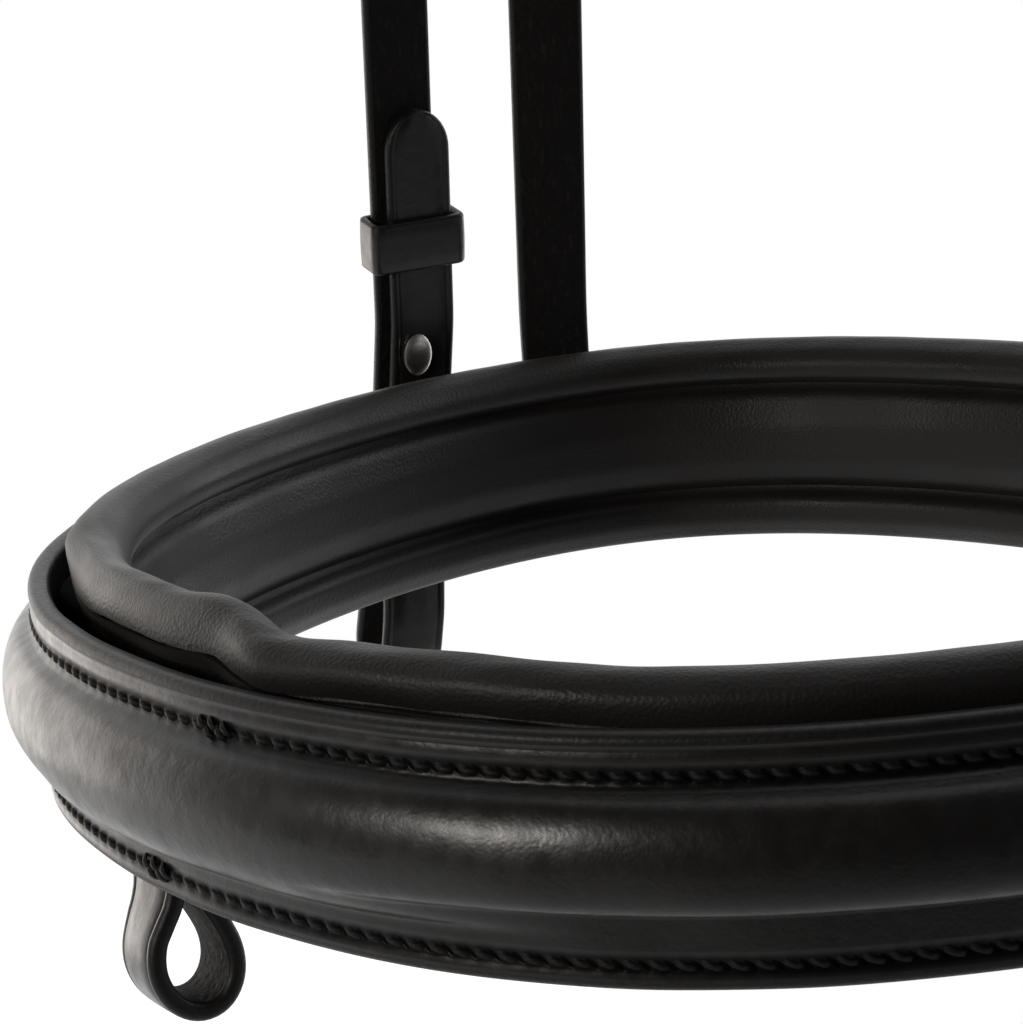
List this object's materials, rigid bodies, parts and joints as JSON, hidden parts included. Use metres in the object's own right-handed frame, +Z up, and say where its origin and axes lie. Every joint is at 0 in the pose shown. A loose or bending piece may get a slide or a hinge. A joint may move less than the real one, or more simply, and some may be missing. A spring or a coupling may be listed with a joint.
{
  "type": "flash bridle",
  "caption": "Black leather bridle for a horse's head with a padded raised noseband, a flash strap loop, cheekpieces that hook to a bit, a padded headpiece, a browband and a throatlatch.",
  "frame": {"origin": "middle of the underside of the headpiece's pad, where it lies on the horse's poll or on a bridle bracket", "axes": "+Z up as the bridle hangs, the horse's nose towards -Y, its left side towards +X"},
  "size_m": [0.295, 0.2711, 0.5094],
  "materials": {
    "bridle_leather": "satin",
    "lining_leather": "matte",
    "padding_foam": "matte",
    "filler_cord": "matte",
    "buckle_steel": "polished"
  },
  "bodies": {
    "headpiece": {"crownpiece": "bridle_leather", "crown_pad": "lining_leather", "headstrap": "bridle_leather", "hanger_left": "bridle_leather", "hanger_buckle": "buckle_steel", "hanger_keeper": "bridle_leather", "throatlatch": "bridle_leather", "cheekpiece_left": "bridle_leather", "cheekpiece_left_buckle": "buckle_steel", "cheekpiece_left_keeper": "bridle_leather", "cheekpiece_left_hook_stud": "buckle_steel", "cheekpiece_right": "bridle_leather", "cheekpiece_right_buckle": "buckle_steel", "cheekpiece_right_keeper": "bridle_leather", "cheekpiece_right_hook_stud": "buckle_steel", "throatlatch_left_buckle": "buckle_steel", "throatlatch_left_keeper": "bridle_leather", "throatlatch_right_buckle": "buckle_steel", "throatlatch_right_keeper": "bridle_leather"},
    "browband": {"browband": "bridle_leather", "browband_padding": "lining_leather"},
    "noseband": {"noseband_band": "bridle_leather", "noseband_filler": "filler_cord", "noseband_padding": "padding_foam", "noseband_lining": "lining_leather", "chin_billet": "bridle_leather", "chin_chape": "bridle_leather", "chin_buckle": "buckle_steel", "chin_keeper_front": "bridle_leather", "chin_keeper_rear": "bridle_leather"},
    "flash_loop": {"flash_loop": "bridle_leather"},
    "chin_prong": {"chin_prong": "buckle_steel"},
    "hanger_prong": {"hanger_prong": "buckle_steel"},
    "hanger_runner": {"hanger_runner": "bridle_leather"},
    "cheek_prong_left": {"cheekpiece_left_prong": "buckle_steel"},
    "cheek_runner_left": {"cheekpiece_left_runner": "bridle_leather"},
    "hook_keeper_left": {"cheekpiece_left_hook_keeper": "bridle_leather"},
    "throat_prong_left": {"throatlatch_left_prong": "buckle_steel"},
    "throat_runner_left": {"throatlatch_left_runner": "bridle_leather"},
    "cheek_prong_right": {"cheekpiece_right_prong": "buckle_steel"},
    "cheek_runner_right": {"cheekpiece_right_runner": "bridle_leather"},
    "hook_keeper_right": {"cheekpiece_right_hook_keeper": "bridle_leather"},
    "throat_prong_right": {"throatlatch_right_prong": "buckle_steel"},
    "throat_runner_right": {"throatlatch_right_runner": "bridle_leather"}
  },
  "joints": [
    {"name": "cheek_prong_left_lift", "type": "hinge", "parent": "headpiece", "child": "cheek_prong_left", "pos_m": [0.09127, 0.00405, -0.22525], "axis": [0, 0.9871, 0.1598], "range_deg": [0, 18]},
    {"name": "cheek_runner_left_slide", "type": "slide", "parent": "headpiece", "child": "cheek_runner_left", "axis": [-0.1839, -0.1571, 0.9703], "range_m": [-0.008, 0.0035]},
    {"name": "hook_keeper_left_slide", "type": "slide", "parent": "headpiece", "child": "hook_keeper_left", "axis": [-0.1839, -0.1571, 0.9703], "range_m": [-0.009, 0.035]},
    {"name": "throat_prong_left_lift", "type": "hinge", "parent": "headpiece", "child": "throat_prong_left", "pos_m": [0.089, 0.05, -0.192], "axis": [0, 0.9358, 0.3525], "range_deg": [0, 18]},
    {"name": "throat_runner_left_slide", "type": "slide", "parent": "headpiece", "child": "throat_runner_left", "axis": [-0.2046, -0.345, 0.916], "range_m": [-0.006, 0.005]},
    {"name": "cheek_prong_right_lift", "type": "hinge", "parent": "headpiece", "child": "cheek_prong_right", "pos_m": [-0.09127, 0.00405, -0.22525], "axis": [0, -0.9871, -0.1598], "range_deg": [0, 18]},
    {"name": "cheek_runner_right_slide", "type": "slide", "parent": "headpiece", "child": "cheek_runner_right", "axis": [0.1839, -0.1571, 0.9703], "range_m": [-0.008, 0.0035]},
    {"name": "hook_keeper_right_slide", "type": "slide", "parent": "headpiece", "child": "hook_keeper_right", "axis": [0.1839, -0.1571, 0.9703], "range_m": [-0.009, 0.035]},
    {"name": "throat_prong_right_lift", "type": "hinge", "parent": "headpiece", "child": "throat_prong_right", "pos_m": [-0.089, 0.05, -0.192], "axis": [0, -0.9358, -0.3525], "range_deg": [0, 18]},
    {"name": "throat_runner_right_slide", "type": "slide", "parent": "headpiece", "child": "throat_runner_right", "axis": [0.2046, -0.345, 0.916], "range_m": [-0.006, 0.005]},
    {"name": "hanger_prong_lift", "type": "hinge", "parent": "headpiece", "child": "hanger_prong", "pos_m": [0.09269, 0.04214, -0.2902], "axis": [0, 0.9899, 0.1415], "range_deg": [0, 18]},
    {"name": "hanger_runner_slide", "type": "slide", "parent": "headpiece", "child": "hanger_runner", "axis": [-0.1443, -0.14, 0.9796], "range_m": [-0.007, 0.0045]},
    {"name": "chin_prong_lift", "type": "hinge", "parent": "noseband", "child": "chin_prong", "pos_m": [0.02023, 0.12882, -0.43964], "axis": [0, 0.0854, -0.9963], "range_deg": [0, 18]},
    {"name": "browband_slide", "type": "slide", "parent": "headpiece", "child": "browband", "axis": [0, 0, 1], "range_m": [-0.008, 0.012]},
    {"name": "noseband_pitch", "type": "hinge", "parent": "headpiece", "child": "noseband", "pos_m": [0, 0.0624, -0.4413], "axis": [-1, 0, 0], "range_deg": [0, 4]},
    {"name": "flash_loop_swing", "type": "hinge", "parent": "noseband", "child": "flash_loop", "pos_m": [-0.01347, -0.09199, -0.47363], "axis": [0.9952, -0.0974, -0.0083], "range_deg": [-6, 6]}
  ]
}
